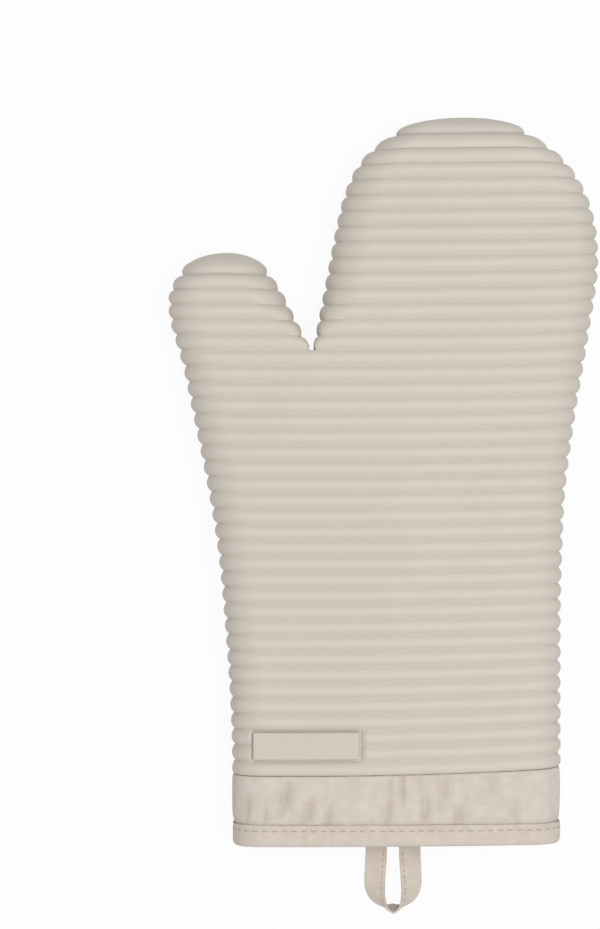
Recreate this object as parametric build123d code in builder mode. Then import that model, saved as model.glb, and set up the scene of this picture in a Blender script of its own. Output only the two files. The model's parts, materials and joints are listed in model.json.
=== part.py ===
"""Ribbed oven mitt lying on its back: moulded silicone shell, wadding, cotton lining, cloth cuff and loop.

The mitt lies palm up on Z = 0 with its fingers to +Y and its thumb to -X. The origin is on the floor,
under the middle of the box round the mitt and its hanging loop. Heights are measured along Y from the hem.
An inset is the distance of a layer inside the crests of the ribs, square to the surface.
"""

import os
from functools import cache
from math import cos, pi, radians, sin, sqrt

from build123d import *

os.makedirs("parts", exist_ok=True)

# Outline of the mitt, in millimetres
mitt_length = 330.0  # hem to fingertip
mitt_width = 195.0  # thumb side to little-finger side
mitt_thickness = 38.0  # floor to palm face
cuff_width = 149.0
cuff_height = 33.3  # hem to the seam between cloth and silicone
palm_flare = 17.0  # how far the little-finger side stands out past the cuff
flare_height = 96.0  # where that side leaves the straight
flare_pull = 90.0  # how long it stays near the straight
finger_side_height = 264.0  # widest place of the fingers
finger_side_pull = 30.0
hand_width = 121.5
crotch_height = 226.0  # foot of the gap between thumb and fingers
crotch_lean = 8.6  # how far that foot lies outside the finger side
crotch_gap = 3.2
thumb_tip_height = 269.0
thumb_tip_inset = 26.8
thumb_tip_pull = 18.0
thumb_lean = 27.0  # slope of the thumb's inner side at the crotch, in degrees
thumb_lean_pull = 24.0
thumb_side_height = 246.0  # widest place of the thumb
thumb_base_height = 214.0
thumb_base_inset = 7.4
wrist_height = 118.0
wrist_flare = 4.8  # how far the thumb side stands out past the cuff at the wrist
side_round = 15.0  # rounding between each broad face and the narrow side
corner_chords = 4  # flats that make up each rounding
floor_flat = 0.1  # how far the crests under the mitt are pressed flat
finger_nose = 26.0  # length over which the fingertips thin down
thumb_nose = 22.0

# Fullness of the round ends, as shares of their half width and height
finger_fullness = 0.6
finger_left_fullness = 0.8
finger_left_side_fullness = 0.5
thumb_fullness = 0.57

# Silicone shell
rib_pitch = 7.05
rib_depth = 1.5
rib_shoulder = 2.1  # valley to the flat of the rib
least_cap = 0.6  # smallest last rib of the thumb, as a share of the pitch
shell_wall = 1.1  # silicone under the valleys
flange_height = 8.0  # sewing flange that reaches down behind the cuff cloth
flange_wall = 0.8
tip_flat = 0.3  # blunt end of the last rib
plate_width = 48.0
plate_offset = -34.5  # middle of the bare plate from the middle of the mitt
plate_first_rib = 1
plate_ribs = 2  # ribs that the plate takes the place of
plate_rise = 0.3
plate_margin = 0.7  # plate edge to the valley beside it
plate_slot = 1.4  # gap between each end of the plate and the ribs

# Wadding, lining and cuff cloth
layer_gap = 0.3  # between shell, wadding and lining
cloth_gap = 0.2  # between the layers of the cuff
wadding_thickness = 2.2
lining_thickness = 0.8
band_inset = 1.1
band_thickness = 0.5
binding_thickness = 0.4
binding_height = 10.9
thread = 0.3
thread_gap = 0.1
stitch_length = 3.0
hem_stitch_pitch = 4.4
hem_stitch_height = 8.2
flange_stitch_pitch = 5.0

# Hanging loop
loop_drop = 33.0  # hem to the lowest point of the loop
loop_offset = 5.0  # middle of the loop from the middle of the mitt
tape_width = 9.8
tape_thickness = 1.4
leg_spacing = 15.4  # between the middles of the two legs at the hem
leg_spread = 16.8  # the same where the tape starts to bend
leg_straight = 3.0
leg_share = 0.4  # share of the tape's turns that lie above the bend
tape_turns = 15
leg_turn = 20.0  # how far the tape has turned on edge where it starts to bend, in degrees
bend_height = 10.5
bend_tilt = 18.0  # lean of the tape on edge at the foot of the loop, in degrees
tail_length = 9.0
floor_gap = 0.1  # under the edge of the tape

# Places and insets worked out from the sizes
hem = (loop_drop - mitt_length) / 2
seam = hem + cuff_height
tip = hem + mitt_length
thumb_tip = hem + thumb_tip_height
rib_count = round((tip - seam) / rib_pitch)
pitch = (tip - seam) / rib_count
crotch_rib = round((hem + crotch_height - seam) / pitch)
crotch = seam + crotch_rib * pitch
thumb_ribs = int((thumb_tip - crotch) / pitch - least_cap)
right_side = mitt_width / 2
left_side = -mitt_width / 2
cuff_right = right_side - palm_flare
cuff_left = cuff_right - cuff_width
cuff_middle = (cuff_left + cuff_right) / 2
finger_left = right_side - hand_width
tip_x = right_side - hand_width / 2
thumb_tip_x = left_side + thumb_tip_inset
crotch_right = finger_left - crotch_lean + crotch_gap / 2
crotch_left = crotch_right - crotch_gap
free_thickness = mitt_thickness + floor_flat
middle_height = mitt_thickness - free_thickness / 2
chord_rise = 1 - cos(pi / 4 / corner_chords)  # height of the arc over a chord, as a share of its radius
cavity_inset = rib_depth + shell_wall
flange_inset = cavity_inset - flange_wall
wadding_inset = cavity_inset + layer_gap
lining_inset = wadding_inset + wadding_thickness + layer_gap
hand_inset = lining_inset + lining_thickness
binding_inset = band_inset - cloth_gap - binding_thickness
hem_lining_inset = band_inset + band_thickness + cloth_gap
hem_hand_inset = hem_lining_inset + lining_thickness
binding_back_inset = hem_hand_inset + cloth_gap + binding_thickness
cloth_edge = hem + binding_thickness + cloth_gap
binding_top = hem + binding_height
tape_floor = binding_back_inset + cloth_gap - floor_flat
hinge_y = hem - layer_gap - tape_thickness / 2
hinge_z = tape_floor + tape_thickness / 2


@cache
def outline(inset):
    """Flat outline of the mitt at an inset. The cuff runs on past the hem, so that the mouth stays open."""
    mouth = hem - cuff_height
    finger_height = hem + finger_side_height
    thumb_height = hem + thumb_side_height
    finger_rise = tip - finger_height
    finger_side = Vector(finger_left - crotch_right, finger_height - crotch).normalized()
    thumb_side = Vector(-sin(radians(thumb_lean)), cos(radians(thumb_lean)))
    with BuildSketch() as drawn:
        with BuildLine():
            Line((cuff_left, mouth), (cuff_right, mouth))
            Line((cuff_right, mouth), (cuff_right, hem + flare_height))
            Bezier(
                (cuff_right, hem + flare_height),
                (cuff_right, hem + flare_height + flare_pull),
                (right_side, finger_height - finger_side_pull),
                (right_side, finger_height),
            )
            Bezier(
                (right_side, finger_height),
                (right_side, finger_height + finger_fullness * finger_rise),
                (tip_x + finger_fullness * hand_width / 2, tip),
                (tip_x, tip),
            )
            Bezier(
                (tip_x, tip),
                (tip_x - finger_left_fullness * hand_width / 2, tip),
                Vector(finger_left, finger_height) + finger_side * finger_left_side_fullness * finger_rise,
                (finger_left, finger_height),
            )
            Line((finger_left, finger_height), (crotch_right, crotch))
            Line((crotch_right, crotch), (crotch_left, crotch))
            Bezier(
                (crotch_left, crotch),
                Vector(crotch_left, crotch) + thumb_side * thumb_lean_pull,
                (thumb_tip_x + thumb_tip_pull, thumb_tip),
                (thumb_tip_x, thumb_tip),
            )
            Bezier(
                (thumb_tip_x, thumb_tip),
                (thumb_tip_x - thumb_fullness * thumb_tip_inset, thumb_tip),
                (left_side, thumb_height + thumb_fullness * (thumb_tip - thumb_height)),
                (left_side, thumb_height),
            )
            Spline(
                (left_side, thumb_height),
                (left_side + thumb_base_inset, hem + thumb_base_height),
                (cuff_left - wrist_flare, hem + wrist_height),
                (cuff_left, seam),
                tangents=[(0, -1), (0, -1)],
            )
            Line((cuff_left, seam), (cuff_left, mouth))
        make_face()
        if inset:
            offset(amount=-inset)
    return drawn.sketch.face().to_splines()


def spread(inset, y, finger):
    """Left and right edge of the outline at a height, over the palm, the hand's fingers or the thumb."""
    level = Edge.make_line((2 * left_side, y), (2 * right_side, y))
    runs = [run.bounding_box() for run in outline(inset).intersect(level)]
    runs.sort(key=lambda run: run.min.X)
    left = runs[-1] if finger == "hand" else runs[0]
    right = runs[0] if finger == "thumb" else runs[-1]
    return left.min.X, right.max.X


def chorded_corners(width, height, corner):
    """Corners of a rectangle at the origin whose roundings are drawn with a few chords each."""
    points = []
    for quarter, (right, up) in enumerate(((1, 1), (-1, 1), (-1, -1), (1, -1))):
        for chord in range(corner_chords + 1):
            angle = pi / 2 * (quarter + chord / corner_chords)
            x = right * (width / 2 - corner) + corner * cos(angle)
            z = up * (height / 2 - corner) + corner * sin(angle)
            points.append((x, z))
    return points


def section(y, inset, finger):
    """Corners of the mitt at a height: flat faces, round sides, thinner over the nose of a finger."""
    left, right = spread(inset, y, finger)
    end, nose = (thumb_tip, thumb_nose) if finger == "thumb" else (tip, finger_nose)
    along = max(y - (end - nose), 0) / (nose - inset)
    half = (free_thickness / 2 - inset) * sqrt(1 - along**2)
    corner = min(side_round - inset, 0.9 * half, 0.45 * (right - left))
    middle = Vector((left + right) / 2, y, middle_height)
    return [middle + Vector(x, 0, z) for x, z in chorded_corners(right - left, 2 * half, corner)]


def flat_sided(sections):
    """Solid through a row of sections with as many corners each. Every side between two sections is flat."""
    sides = [Face(Wire.make_polygon(sections[0])), Face(Wire.make_polygon(sections[-1]))]
    for near, far in zip(sections, sections[1:]):
        for corner in range(len(near)):
            rim = (near[corner - 1], near[corner], far[corner], far[corner - 1])
            sides.append(Face(Wire.make_polygon(rim)))
    return Solid(Shell(sides))


def cuff_section(inset, mode=Mode.ADD):
    """Cross-section of the cuff at an inset, for a sketch across the mitt."""
    with Locations((cuff_middle, middle_height)):
        corners = chorded_corners(cuff_width - 2 * inset, free_thickness - 2 * inset, side_round - inset)
        Polygon(*corners, mode=mode)


def rib_levels(first, last):
    """Heights and insets of the sections through a row of ribs: valley, shoulder, shoulder, valley."""
    levels = [(seam + first * pitch, rib_depth)]
    for rib in range(first, last):
        foot = seam + rib * pitch
        levels += [(foot + rib_shoulder, 0), (foot + pitch - rib_shoulder, 0), (foot + pitch, rib_depth)]
    return levels


def cap_levels(foot, end):
    """The same for the domed last rib of a finger, which closes in towards its blunt end."""
    shoulder = foot + rib_shoulder * min(1, (end - foot) / pitch)
    rise = end - tip_flat - shoulder
    return [(shoulder + share * rise, 0) for share in (0, 0.4, 0.75, 1)]


def pouch(inset, mouth):
    """Solid that fills the mitt inside a layer. The mouth gives the heights and insets up to the seam."""
    web = crotch - inset + tip_flat
    palm = [(seam + (web - seam) * step / 5, inset) for step in range(1, 6)]
    with BuildPart() as fill:
        add(flat_sided([section(y, inset, "palm") for y, inset in mouth + palm]))
        for finger, end, steps in (("hand", tip, 6), ("thumb", thumb_tip, 5)):
            reach = end - inset - tip_flat - crotch
            levels = [web] + [crotch + reach * sin(pi / 2 * step / steps) for step in range(steps + 1)]
            add(flat_sided([section(y, inset, finger) for y in levels]))
    return fill.part


def stitch_places(y, inset, stitch_pitch):
    """Places of a row of stitches round the cuff, each along its thread."""
    with BuildSketch(Plane.XZ.offset(-y)) as row:
        with Locations((cuff_middle, middle_height)):
            RectangleRounded(cuff_width - 2 * inset, free_thickness - 2 * inset, side_round - inset)
    path = row.sketch.face().outer_wire()
    count = round(path.length / stitch_pitch)
    return [path.location_at(stitch / count) for stitch in range(count)]


def tape_corners(share):
    """Corners of the tape across the left half of the loop, from the straight of the leg to its foot.

    The tape lies flat at the hem and turns on edge on its way down, so that it stands on the floor there.
    """
    tilt = radians(bend_tilt)
    foot = hem - loop_drop + tape_width / 2 * sin(tilt) + tape_thickness / 2 * cos(tilt)
    bend_top = foot + bend_height
    leg_foot = hinge_y - leg_straight
    if share <= leg_share:
        part = share / leg_share
        reach = (leg_spacing + (leg_spread - leg_spacing) * (1 - cos(pi * part)) / 2) / 2
        place = Vector(loop_offset - reach, leg_foot + (bend_top - leg_foot) * part)
        along = Vector(0, -1, 0)
        turn = radians(leg_turn) * part**2
    else:
        part = (share - leg_share) / (1 - leg_share)
        angle = pi / 2 * part
        reach = leg_spread / 2
        place = Vector(loop_offset - reach * cos(angle), bend_top - bend_height * sin(angle))
        along = Vector(reach * sin(angle), -bend_height * cos(angle), 0).normalized()
        turn = radians(leg_turn + (90 - leg_turn) * part)
    inward = Vector(0, 0, 1).cross(along)
    upright = Vector(0, -sin(tilt), cos(tilt))
    across_tape = Plane(place, x_dir=inward * cos(turn) + upright * sin(turn), z_dir=along)
    rise = tape_width / 2 * abs(across_tape.x_dir.Z) + tape_thickness / 2 * abs(across_tape.y_dir.Z)
    across_tape.origin += Vector(0, 0, max(hinge_z, rise + floor_gap))
    sides = ((-1, -1), (1, -1), (1, 1), (-1, 1))
    return [across_tape.from_local_coords((x * tape_width / 2, y * tape_thickness / 2)) for x, y in sides]


def twisted_tape():
    """Left half of the loop below the straight of the leg, in flat facets between the turns of the tape."""
    turns = [tape_corners(turn / tape_turns) for turn in range(tape_turns + 1)]
    facets = [Face(Wire.make_polygon(turns[0])), Face(Wire.make_polygon(turns[-1]))]
    for upper, lower in zip(turns, turns[1:]):
        for near, far in ((3, 0), (0, 1), (2, 1), (3, 2)):
            facets.append(Face(Wire.make_polygon((upper[near], upper[far], lower[far]))))
            facets.append(Face(Wire.make_polygon((upper[near], lower[far], lower[near]))))
    return Solid(Shell(facets))


# Silicone shell: ribs over palm, fingers and thumb, a flange to sew the cuff to, and a bare plate
with BuildPart() as silicone_shell:
    for finger, levels in (
        ("palm", rib_levels(0, crotch_rib)),
        ("hand", rib_levels(crotch_rib, rib_count - 1) + cap_levels(tip - pitch, tip)),
        (
            "thumb",
            rib_levels(crotch_rib, crotch_rib + thumb_ribs)
            + cap_levels(crotch + thumb_ribs * pitch, thumb_tip),
        ),
    ):
        add(flat_sided([section(y, inset, finger) for y, inset in levels]))
    with BuildSketch(Plane.XZ.offset(-seam)):
        cuff_section(flange_inset)
    extrude(amount=flange_height)
    plate_foot = seam + plate_first_rib * pitch + plate_margin
    plate_height = plate_ribs * pitch - 2 * plate_margin
    with BuildSketch(Plane.XY.offset(mitt_thickness)):
        with Locations((plate_offset, plate_foot + plate_height / 2)):
            Rectangle(plate_width + 2 * plate_slot, plate_height)
    extrude(amount=-rib_depth, mode=Mode.SUBTRACT)
    with BuildSketch(Plane.XY.offset(mitt_thickness - rib_depth)):
        with Locations((plate_offset, plate_foot + plate_height / 2)):
            Rectangle(plate_width, plate_height)
    extrude(amount=rib_depth + plate_rise)
    cavity_mouth = [(seam - 2 * flange_height, cavity_inset), (seam, cavity_inset)]
    add(pouch(cavity_inset, cavity_mouth), mode=Mode.SUBTRACT)
    split(bisect_by=Plane.XY, keep=Keep.TOP)
silicone_shell.part.label = "silicone_shell"
export_step(silicone_shell.part, "parts/silicone_shell.step")

# Wadding between shell and lining, in a palm half and a back half
wadding_outside = pouch(wadding_inset, [(seam, wadding_inset)])
wadding_back = wadding_inset + wadding_thickness
wadding_inside = pouch(wadding_back, [(cloth_edge, wadding_back), (seam, wadding_back)])
mid_plane = Plane.XY.offset(middle_height)
with BuildPart() as palm_wadding:
    add(wadding_outside)
    add(wadding_inside, mode=Mode.SUBTRACT)
    split(bisect_by=mid_plane, keep=Keep.TOP)
palm_wadding.part.label = "palm_wadding"
export_step(palm_wadding.part, "parts/palm_wadding.step")

with BuildPart() as back_wadding:
    add(wadding_outside)
    add(wadding_inside, mode=Mode.SUBTRACT)
    split(bisect_by=mid_plane, keep=Keep.BOTTOM)
back_wadding.part.label = "back_wadding"
export_step(back_wadding.part, "parts/back_wadding.step")

# Cotton lining: it runs down behind the cuff and into the hem binding
lining_turn = binding_top + cloth_gap
lining_outside = pouch(
    lining_inset,
    [(cloth_edge, hem_lining_inset), (lining_turn, hem_lining_inset), (seam, lining_inset)],
)
lining_inside = pouch(
    hand_inset,
    [(hem, hem_hand_inset), (lining_turn, hem_hand_inset), (seam, hand_inset)],
)
with BuildPart() as palm_lining:
    add(lining_outside)
    add(lining_inside, mode=Mode.SUBTRACT)
    split(bisect_by=mid_plane, keep=Keep.TOP)
palm_lining.part.label = "palm_lining"
export_step(palm_lining.part, "parts/palm_lining.step")

with BuildPart() as back_lining:
    add(lining_outside)
    add(lining_inside, mode=Mode.SUBTRACT)
    split(bisect_by=mid_plane, keep=Keep.BOTTOM)
back_lining.part.label = "back_lining"
export_step(back_lining.part, "parts/back_lining.step")

# Cuff band: a tube of cloth from the seam down into the hem binding
with BuildPart() as cuff_band:
    with BuildSketch(Plane.XZ.offset(-cloth_edge)):
        cuff_section(band_inset)
        cuff_section(band_inset + band_thickness, mode=Mode.SUBTRACT)
    extrude(amount=cloth_edge + cloth_gap - seam)
cuff_band.part.label = "cuff_band"
export_step(cuff_band.part, "parts/cuff_band.step")

# Hem binding: tape folded over the edges of band and lining
with BuildPart() as hem_binding:
    with BuildSketch(Plane.XZ.offset(-hem)):
        cuff_section(binding_inset)
        cuff_section(binding_back_inset, mode=Mode.SUBTRACT)
    extrude(amount=-binding_height)
    with BuildSketch(Plane.XZ.offset(-hem - binding_thickness)):
        cuff_section(binding_inset + binding_thickness)
        cuff_section(binding_back_inset - binding_thickness, mode=Mode.SUBTRACT)
    extrude(amount=-binding_height, mode=Mode.SUBTRACT)
hem_binding.part.label = "hem_binding"
export_step(hem_binding.part, "parts/hem_binding.step")

# Rows of stitches: one on the hem binding, one on the inside of the shell's flange
hem_row = stitch_places(hem + hem_stitch_height, binding_inset - thread_gap - thread / 2, hem_stitch_pitch)
with BuildPart() as hem_stitches:
    with Locations(*hem_row):
        Box(thread, thread, stitch_length)
hem_stitches.part.label = "hem_stitches"
export_step(hem_stitches.part, "parts/hem_stitches.step")

flange_line = seam - flange_height / 2
flange_face = cavity_inset + (side_round - cavity_inset) * chord_rise
flange_row = stitch_places(flange_line, flange_face + layer_gap + thread / 2, flange_stitch_pitch)
with BuildPart() as flange_stitches:
    with Locations(*flange_row):
        Box(thread, thread, stitch_length)
flange_stitches.part.label = "flange_stitches"
export_step(flange_stitches.part, "parts/flange_stitches.step")

# Sewn-in ends of the hanging loop, flat on the back of the hem binding inside the mouth
with BuildPart() as loop_tails:
    with BuildSketch(Plane.XY.offset(tape_floor)):
        with Locations((loop_offset, hem + tail_length / 2)):
            with GridLocations(leg_spacing, 0, 2, 1):
                Rectangle(tape_width, tail_length)
    extrude(amount=tape_thickness)
loop_tails.part.label = "loop_tails"
export_step(loop_tails.part, "parts/loop_tails.step")

# Hanging loop: flat tape at the hem that turns on edge round the foot of the loop
with BuildPart() as hanging_loop:
    leg_x = loop_offset - leg_spacing / 2
    with BuildSketch(Plane.YZ.offset(leg_x - tape_width / 2)):
        with Locations((hinge_y - leg_straight / 2, hinge_z)):
            Rectangle(leg_straight, tape_thickness)
        with Locations((hinge_y, hinge_z)):
            Circle(tape_thickness / 2)
    extrude(amount=tape_width)
    add(twisted_tape())
    mirror(about=Plane.YZ.offset(loop_offset))
hanging_loop.part.label = "hanging_loop"
export_step(hanging_loop.part, "parts/hanging_loop.step")
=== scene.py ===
"""Ribbed oven mitt lying on its back: silicone shell, wadding, lining, cloth cuff and hanging loop.

Lengths are in millimetres until a piece is finished. Heights are measured from the hem towards
the fingertips, and an inset is a distance inwards, square to the skin.
"""

import json
from math import cos, exp, hypot, pi, radians, sin, sqrt

import bmesh
import bpy
from mathutils import Matrix, Vector, noise

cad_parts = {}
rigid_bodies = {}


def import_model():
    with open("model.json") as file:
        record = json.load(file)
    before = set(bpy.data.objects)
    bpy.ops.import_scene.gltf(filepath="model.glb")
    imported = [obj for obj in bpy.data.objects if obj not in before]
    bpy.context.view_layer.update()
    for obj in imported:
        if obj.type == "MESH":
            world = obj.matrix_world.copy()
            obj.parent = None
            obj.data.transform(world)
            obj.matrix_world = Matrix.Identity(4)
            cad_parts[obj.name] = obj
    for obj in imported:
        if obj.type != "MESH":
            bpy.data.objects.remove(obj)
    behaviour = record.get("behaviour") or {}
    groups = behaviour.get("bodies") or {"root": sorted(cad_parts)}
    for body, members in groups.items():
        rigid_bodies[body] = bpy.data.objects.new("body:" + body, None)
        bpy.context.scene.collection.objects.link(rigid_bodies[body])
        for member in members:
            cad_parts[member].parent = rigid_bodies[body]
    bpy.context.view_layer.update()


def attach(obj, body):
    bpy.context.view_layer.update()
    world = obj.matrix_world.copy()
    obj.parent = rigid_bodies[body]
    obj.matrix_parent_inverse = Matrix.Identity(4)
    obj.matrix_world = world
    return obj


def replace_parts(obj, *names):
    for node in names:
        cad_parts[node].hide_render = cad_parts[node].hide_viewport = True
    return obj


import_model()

MM = 0.001

# Body of the mitt
HEM = -148.5  # Y of the hem
MIDDLE = 18.95  # Z halfway through the mitt
HALF_THICKNESS = 18.95
SIDE_ROUND = 15.0
SEAM_HEIGHT = 33.3  # where the cloth cuff meets the silicone
CUFF_LEFT, CUFF_RIGHT = -68.5, 80.5
CROTCH_HEIGHT = 224.4  # foot of the gap between thumb and fingers
TIP_X, TIP_HEIGHT = 36.0, 330.0
TIP_NOSE = 26.0  # length over which the fingertips thin down
FINGER_SIDE_HEIGHT = 264.0  # widest place of the fingers
FINGER_REACH = 61.5  # from the middle of the fingertips to the little-finger side
THUMB_TIP_X, THUMB_TIP_HEIGHT = -70.7, 269.0
THUMB_NOSE = 17.0
THUMB_SIDE_HEIGHT = 246.0  # widest place of the thumb
THUMB_REACH = 26.8
THUMB_DOME_HEIGHT = 247.0  # where the thumb's inner side starts to round off
GAP_ROUND, GAP_ROUND_GROWTH = 1.0, 0.6  # rounding beside the gap at its foot, and its growth

# Fullness of the round ends: 2 is an ellipse, and more is squarer
LITTLE_FINGER_FULLNESS, HAND_INNER_FULLNESS = 2.3, 4.5
THUMB_FULLNESS, THUMB_INNER_FULLNESS = 2, 3.2
CAP_FULLNESS = 1.6

# Sides of the mitt as (height, x)
LITTLE_FINGER_SIDE = [(96, 80.5), (150, 82), (191, 86.8), (229, 93.1), (264, 97.5)]
THUMB_SIDE = [(33.3, -68.5), (118, -73.3), (214, -90.1), (246, -97.5)]

# Straight sides of the gap between thumb and fingers as x, height and slope
HAND_GAP_SIDE = (-31.3, 228.8, 0.19)
THUMB_GAP_SIDE = (-34.0, 227.6, -0.495)

# Skew of the mitt as it lies: shift at a height, growing from one x over a span
LIE = [(0, 0.9), (11, 0.6), (33, 2.6), (60, 2.3), (105, 1.5), (150, 1.1), (224, 1.0), (330, 0.7)]
LIE_FROM, LIE_SPAN, LIE_MOST = -38.0, 100.0, 1.3

# Ribs
FIRST_VALLEY = 32.0
PALM_RIBS, FINGER_RIBS, THUMB_RIBS = 27, 15, 5
PALM_PITCH = (CROTCH_HEIGHT - FIRST_VALLEY) / PALM_RIBS
FINGER_PITCH = (TIP_HEIGHT - CROTCH_HEIGHT) / FINGER_RIBS
HAND_CAP = CROTCH_HEIGHT + (FINGER_RIBS - 1) * FINGER_PITCH
THUMB_CAP = CROTCH_HEIGHT + THUMB_RIBS * FINGER_PITCH
RIB_PARTS = (0, 0.015, 0.12, 0.28, 0.5, 0.72, 0.88, 0.985)
SIDE_DEPTH = 1.7
FACE_DEPTH = 1.65
FACE_CREST = 0.3  # share of a rib that stays level on the faces

# Lower edge of the silicone, tucked behind the cuff, as (height, inset)
RIB_FOOT = [(29, 2.8), (32.4, 2.5), (32.85, 1.8), (33.0, 1.15), (33.3, 0.75), (33.8, 0.42),
            (34.5, 0.16), (35.5, 0)]
SHELL_WALL = 1.1


# Outline of the mitt

def clamp(value, low=0.0, high=1.0):
    return max(low, min(high, value))


def through(knots, height):
    """Smooth curve through (height, value) knots, level at both ends."""
    if height <= knots[0][0]:
        return knots[0][1]
    if height >= knots[-1][0]:
        return knots[-1][1]
    rates = [(b[1] - a[1]) / (b[0] - a[0]) for a, b in zip(knots, knots[1:])]
    slopes = [2 * p * q / (p + q) if p * q > 0 else 0.0 for p, q in zip(rates, rates[1:])]
    slopes = [0.0] + slopes + [0.0]
    span = next(n for n in range(len(rates)) if height <= knots[n + 1][0])
    (h0, v0), (h1, v1) = knots[span], knots[span + 1]
    t = (height - h0) / (h1 - h0)
    lean = slopes[span] * (t**3 - 2 * t**2 + t) + slopes[span + 1] * (t**3 - t**2)
    return v0 + (v1 - v0) * (3 * t**2 - 2 * t**3) + (h1 - h0) * lean


def dome(height, foot, tip, fullness):
    """Share of its width that a round end still has at a height."""
    return sqrt(1 - clamp((height - foot) / (tip - foot)) ** fullness)


def capped(side, height, cap, tip, middle):
    """Edge of a finger up to its last rib, which is rounded off over the tip."""
    return middle + (side(min(height, cap)) - middle) * dome(height, cap, tip, CAP_FULLNESS)


def gap_side(line, height):
    x, foot, slope = line
    return x + slope * (height - foot)


def little_finger_side(height):
    def side(height):
        if height <= FINGER_SIDE_HEIGHT:
            return through(LITTLE_FINGER_SIDE, height)
        left = dome(height, FINGER_SIDE_HEIGHT, TIP_HEIGHT, LITTLE_FINGER_FULLNESS)
        return TIP_X + FINGER_REACH * left
    return capped(side, height, HAND_CAP, TIP_HEIGHT, TIP_X)


def hand_inner_side(height):
    def side(height):
        line = gap_side(HAND_GAP_SIDE, height)
        left = dome(height, FINGER_SIDE_HEIGHT, TIP_HEIGHT, HAND_INNER_FULLNESS)
        return line + (TIP_X - line) * (1 - left)
    return capped(side, height, HAND_CAP, TIP_HEIGHT, TIP_X)


def thumb_inner_side(height):
    def side(height):
        line = gap_side(THUMB_GAP_SIDE, height)
        left = dome(height, THUMB_DOME_HEIGHT, THUMB_TIP_HEIGHT, THUMB_INNER_FULLNESS)
        return line + (THUMB_TIP_X - line) * (1 - left)
    return capped(side, height, THUMB_CAP, THUMB_TIP_HEIGHT, THUMB_TIP_X)


def thumb_side(height):
    def side(height):
        if height <= THUMB_SIDE_HEIGHT:
            return through(THUMB_SIDE, height)
        left = dome(height, THUMB_SIDE_HEIGHT, THUMB_TIP_HEIGHT, THUMB_FULLNESS)
        return THUMB_TIP_X - THUMB_REACH * left
    return capped(side, height, THUMB_CAP, THUMB_TIP_HEIGHT, THUMB_TIP_X)


def lie(x, height):
    """How far the mitt is skewed towards the fingers on its little-finger side, as it lies."""
    return through(LIE, height) * clamp((x - LIE_FROM) / LIE_SPAN, 0, LIE_MOST) ** 2


# Cross-sections: columns run over the hand from 0 to 1, down its inner side from 1 to 2,
# over the thumb from 3 to 4 and up its inner side from 4 to 5

FLAT, CORNER, SIDE = 0.38, 0.46, 0.54
HAND_COLUMNS = (27, 6, 3)
THUMB_COLUMNS = (13, 6, 3)
INNER_STEPS = 10
LEAST_WIDTH = 0.02
TIP_MERGE = 0.05  # vertices of a tip that are this close become one
MOST_ROUND_HIGH, MOST_ROUND_WIDE = 0.97, 0.48  # roundings, as shares of half height and width


def arc_shares(counts):
    """Places of the columns along an arc, close together round its corners."""
    flat, corner, side = counts
    half = [FLAT * n / flat for n in range(flat)]
    half += [FLAT + (CORNER - FLAT) * n / corner for n in range(corner)]
    middle = [CORNER + (SIDE - CORNER) * n / side for n in range(side + 1)]
    return half + middle + [1 - share for share in reversed(half)]


def over_the_far_side(share, near, far, half, near_round, far_round):
    """Point on the way from the near edge of the palm face, round the far side, to the back."""
    outward = 1 if far > near else -1
    flat = abs(far - near) - near_round - far_round
    up = 1
    if share > 0.5:
        share, up = 1 - share, -1
    if share <= FLAT:
        return near + outward * (near_round + flat * share / FLAT), up * half
    if share <= CORNER:
        turn = (share - FLAT) / (CORNER - FLAT) * pi / 2
        x = far - outward * far_round * (1 - sin(turn))
        return x, up * (half - far_round * (1 - cos(turn)))
    return far, up * (half - far_round) * (0.5 - share) / (0.5 - CORNER)


def down_the_near_side(share, near, outward, half, near_round):
    """Point on the near side of a finger, from the back at 0 to the palm face at 1."""
    up = 1 if share > 0.5 else -1
    share = abs(share - 0.5) * 2
    if share <= 0.5:
        return near, up * (half - near_round) * share / 0.5
    turn = (share - 0.5) / 0.5 * pi / 2
    x = near + outward * near_round * (1 - cos(turn))
    return x, up * (half - near_round * (1 - sin(turn)))


def skin_point(around, height, inset=0.0):
    """Point of the mitt's skin, or of a layer at an inset under it, on a column at a height."""
    hand = around <= 2
    tip, nose = (TIP_HEIGHT, TIP_NOSE) if hand else (THUMB_TIP_HEIGHT, THUMB_NOSE)
    along = clamp((height - (tip - nose)) / (nose - inset))
    half = (HALF_THICKNESS - inset) * sqrt(max(1 - along**2, 0))

    # A layer reads the outline of a round tip further up, to stay inside it
    lifted = height + inset * clamp((height - (tip - 2.5 * nose)) / (1.5 * nose))
    near = hand_inner_side(lifted) if hand else thumb_inner_side(lifted)
    far = little_finger_side(lifted) if hand else thumb_side(lifted)
    if height < CROTCH_HEIGHT:
        near = hand_inner_side(CROTCH_HEIGHT) if hand else thumb_inner_side(CROTCH_HEIGHT)
        near_round = 0.0
    else:
        near += inset if hand else -inset
        grown = GAP_ROUND + (height - CROTCH_HEIGHT) * GAP_ROUND_GROWTH
        near_round = clamp(grown, 0, SIDE_ROUND)
    far += -inset if hand else inset
    outward = 1 if hand else -1
    width = max((far - near) * outward, LEAST_WIDTH)
    far = near + outward * width
    far_round = min(SIDE_ROUND - inset, MOST_ROUND_HIGH * half, MOST_ROUND_WIDE * width)
    near_round = min(near_round, MOST_ROUND_HIGH * half, MOST_ROUND_WIDE * width)
    if 1 < around < 2 or 4 < around < 5:
        return down_the_near_side(around % 1, near, outward, half, near_round)
    share = around if hand else around - 3
    return over_the_far_side(share, near, far, half, near_round, far_round)


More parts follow.
